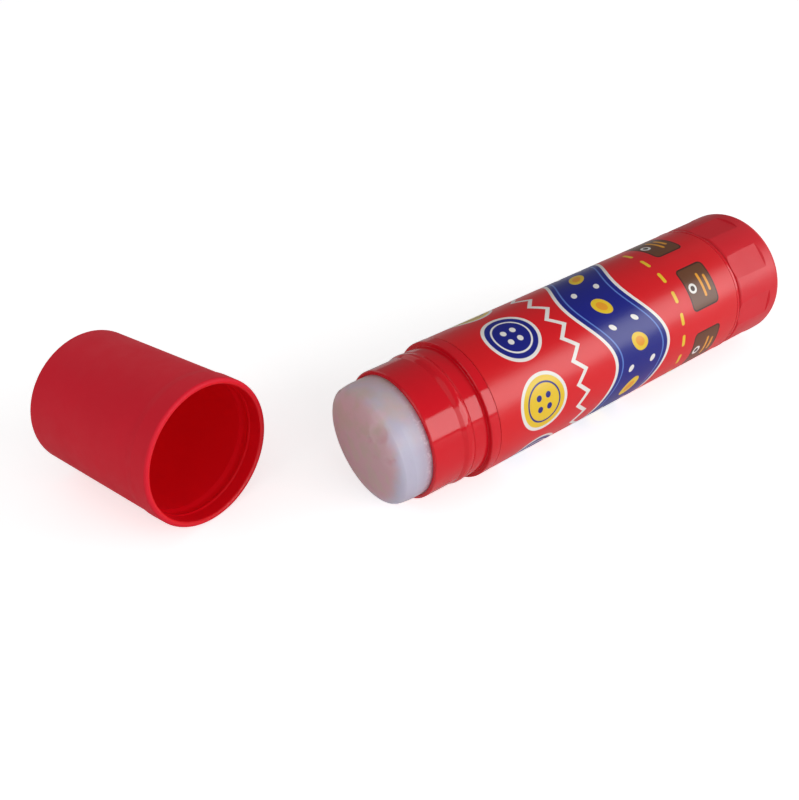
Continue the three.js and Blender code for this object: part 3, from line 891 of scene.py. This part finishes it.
def glue():
    """Stick with a foot for the carrier's cup, and a worn dome that is bevelled, slanted and dented."""
    glue_r = bore_r - GLUE_CLEARANCE
    foot_r = bore_r - GLUE_FOOT_STEP
    crown = rim + GLUE_OUT
    bore_end = crown + GLUE_CROWN - GLUE_COVER
    counterbore = glue_start + GLUE_COUNTERBORE
    edge = []
    for i in range(GLUE_CROWN_STEPS):
        angle = pi / 2 * i / GLUE_CROWN_STEPS
        edge.append(glue_r * cos(angle) ** (2 / GLUE_CROWN_POWER))
    inner = edge[-1]
    steps = ceil(inner / GLUE_FACE_STEP)
    out = edge + [inner * (1 - i / steps) for i in range(1, steps + 1)]
    dome = [
        (crown + GLUE_CROWN * (1 - (r / glue_r) ** GLUE_CROWN_POWER) ** (1 / GLUE_CROWN_POWER), r)
        for r in out
    ]
    dome = [(crown, glue_r, GLUE_BEVEL_EDGE)] + [point for point in dome if point[0] > crown + GLUE_BEVEL]
    piece = turned("glue_stick", [
        (bore_end, 0),
        (bore_end, GLUE_BORE_R, 0.4),
        (counterbore, GLUE_BORE_R),
        (counterbore, GLUE_COUNTERBORE_R),
        (glue_start, GLUE_COUNTERBORE_R),
        (glue_start, foot_r, 0.2),
        (glue_start + GLUE_FOOT, foot_r),
        (glue_start + GLUE_FOOT, glue_r, 0.2),
        *dome,
    ])
    high = radians(GLUE_SLANT_AT)
    slope = tan(radians(GLUE_SLANT))
    for vertex in piece.data.vertices:
        if vertex.co.x < (crown - 1.5 * GLUE_BEVEL_EDGE) * MM:
            continue
        place = vertex.co.yz / MM
        vertex.co.x += slope * (vertex.co.y * sin(high) + vertex.co.z * cos(high))
        for towards, up, size, depth in DENTS:
            far = (place - Vector((towards, up))).length / size
            sink = min(max((1 - far) / DENT_EDGE, 0), 1)
            vertex.co.x -= depth * sink * sink * (3 - 2 * sink) * MM
    for turn in RIB_AT:
        room = bar(
            "rib_room", (glue_start + GLUE_FOOT, crown + 2 * GLUE_CROWN),
            (bore_r - RIB_HEIGHT - RIB_ROOM, bore_r + RIB_HEIGHT), RIB_WIDTH + 2 * RIB_ROOM, turn,
        )
        boolean(piece, room, "DIFFERENCE")
    dress(piece, tube_foot, tube_axis, GLUE_CREASE, glue_gel())
    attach(piece, "carrier")
    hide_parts("glue")


def cap():
    """Cup with a gate mark on its closed end, and in its mouth the bead that snaps onto the neck."""
    band = cap_length - CAP_BAND
    bead = cap_length - CAP_BEAD_AT
    relief = cap_length - CAP_RELIEF_END
    mouth_r = cap_rim_r - CAP_MOUTH_WALL
    end_r = cap_rim_r - CAP_BAND_STEP - CAP_DRAFT
    piece = turned("cap_shell", [
        (DIMPLE_DEPTH - GATE_HEIGHT, 0),
        (DIMPLE_DEPTH - GATE_HEIGHT, GATE_R, 0.05),
        (DIMPLE_DEPTH, GATE_R),
        (DIMPLE_DEPTH, DIMPLE_R, 0.15),
        (0, DIMPLE_R + DIMPLE_DEPTH, 0.15),
        (0, end_r, CAP_EDGE),
        (band - CAP_BAND_EASE, cap_rim_r - CAP_BAND_STEP, CAP_BAND_ROUND),
        (band, cap_rim_r, CAP_BAND_ROUND),
        (cap_length, cap_rim_r, CAP_LIP_EDGE),
        (cap_length, mouth_r, CAP_MOUTH_EDGE),
        (bead + CAP_BEAD / 2, mouth_r, CAP_BEAD_FOOT),
        (bead, mouth_r - CAP_BEAD_HEIGHT, CAP_BEAD_ROUND),
        (bead - CAP_BEAD / 2, mouth_r, CAP_BEAD_FOOT),
        (relief, mouth_r, CAP_RELIEF_ROUND),
        (relief - CAP_RELIEF_EASE, CAP_BORE_R, CAP_RELIEF_ROUND),
        (CAP_END_WALL, CAP_BORE_R - CAP_BORE_DRAFT, CAP_CORNER),
        (CAP_END_WALL, 0),
    ])
    dress(piece, cap_foot, cap_axis, CREASE, spark_finish_polypropylene(), core_polypropylene())
    for face in piece.data.polygons:
        place = face.center - cap_foot
        along = place.dot(cap_axis)
        out = place - cap_axis * along
        in_bore = face.normal.dot(out) < 0 and along > (CAP_END_WALL - WALL_TOLERANCE) * MM
        on_end_wall = abs(along - CAP_END_WALL * MM) < WALL_TOLERANCE * MM
        face.material_index = 1 if in_bore or on_end_wall else 0
    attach(piece, "cap")
    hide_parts("cap")


def inner_pieces():
    """Spindle and carrier keep their CAD shape, because they stay hidden inside."""
    white = natural_polypropylene()
    for node in ("spindle", "carrier"):
        mesh = frame["nodes"][node].data
        mesh.materials.clear()
        mesh.materials.append(white)


# Camera, lights and floor

def camera():
    """The camera that took the photo."""
    bpy.ops.object.camera_add(location=CAMERA_PLACE)
    eye = bpy.context.object
    eye.data.sensor_width = SENSOR
    eye.data.lens = CAMERA_FOCAL_PIXELS * SENSOR / IMAGE_LONG_SIDE
    eye.data.clip_start = 0.01
    eye.data.clip_end = 20
    turn = Matrix.Rotation(radians(CAMERA_HEADING), 3, "Z")
    turn @= Matrix.Rotation(radians(90 - CAMERA_PITCH), 3, "X")
    turn @= Matrix.Rotation(radians(CAMERA_ROLL), 3, "Z")
    eye.rotation_euler = turn.to_euler()
    bpy.context.scene.camera = eye


def softbox(name, place, width, height, power):
    """A softbox at a place in metres, facing the object."""
    bpy.ops.object.light_add(type="AREA", location=place)
    lamp = bpy.context.object
    lamp.name = name
    lamp.data.shape = "RECTANGLE"
    lamp.data.size = width
    lamp.data.size_y = height
    lamp.data.energy = power
    lamp.rotation_euler = (-Vector(place)).to_track_quat("-Z", "Y").to_euler()


def studio():
    """Softboxes all round at a plain level, in a dim room that the camera sees as pure white."""
    softbox("key", (-0.411, 0.587, 0.254), 0.66, 0.42, 2.95)
    softbox("front", (0.1, 0.85, 0.35), 0.6, 0.5, 1.5)
    softbox("left", (0.85, 0.0, 0.3), 0.6, 0.5, 1.3)
    softbox("side", (-0.85, 0.0, 0.3), 0.6, 0.5, 0.45)
    softbox("rim", (0.0, -0.8, 0.35), 0.9, 0.5, 0.65)
    softbox("top", (0.2, 0.3, 0.85), 0.8, 0.8, 0.75)
    world = bpy.data.worlds.new("studio")
    world.use_nodes = True
    bpy.context.scene.world = world
    tree = world.node_tree
    rays = add(tree, "ShaderNodeLightPath", {})
    feed(tree, tree.nodes["Background"], {"Color": linear("#FFFFFF"), "Strength": WORLD_LEVEL})
    white = add(tree, "ShaderNodeBackground", {"Color": linear("#FFFFFF"), "Strength": 1})
    seen = add(
        tree, "ShaderNodeMixShader",
        {0: rays.outputs["Is Camera Ray"], 1: tree.nodes["Background"].outputs[0], 2: white.outputs[0]},
    )
    feed(tree, tree.nodes["World Output"], {"Surface": seen.outputs[0]})


def floor():
    """A white table that keeps the shadow and, further off, goes over into the white background."""
    bpy.ops.mesh.primitive_plane_add(size=FLOOR_SIZE)
    plane = bpy.context.object
    plane.name = "floor"
    material = bpy.data.materials.new("white_table")
    material.use_nodes = True
    tree = material.node_tree
    rays = add(tree, "ShaderNodeLightPath", {})
    place = add(tree, "ShaderNodeTexCoord", {}).outputs["Object"]
    far = add(tree, "ShaderNodeVectorMath", {0: place}, operation="LENGTH")
    level = add(
        tree, "ShaderNodeMapRange",
        {"Value": far.outputs["Value"], "From Min": FLOOR_FADE[0], "From Max": FLOOR_FADE[1],
         "To Min": FLOOR_GLOW, "To Max": 1},
    )
    glow = add(
        tree, "ShaderNodeMath",
        {0: rays.outputs["Is Camera Ray"], 1: level.outputs[0]},
        operation="MULTIPLY",
    )
    feed(tree, tree.nodes["Principled BSDF"], {
        "Base Color": linear("#F2F2F2"),
        "Roughness": 0.9,
        "Emission Color": linear("#FFFFFF"),
        "Emission Strength": glow.outputs[0],
    })
    plane.data.materials.append(material)


bpy.context.scene.view_settings.view_transform = "Standard"
camera()
barrel()
label()
knob()
glue()
cap()
inner_pieces()
studio()
floor()
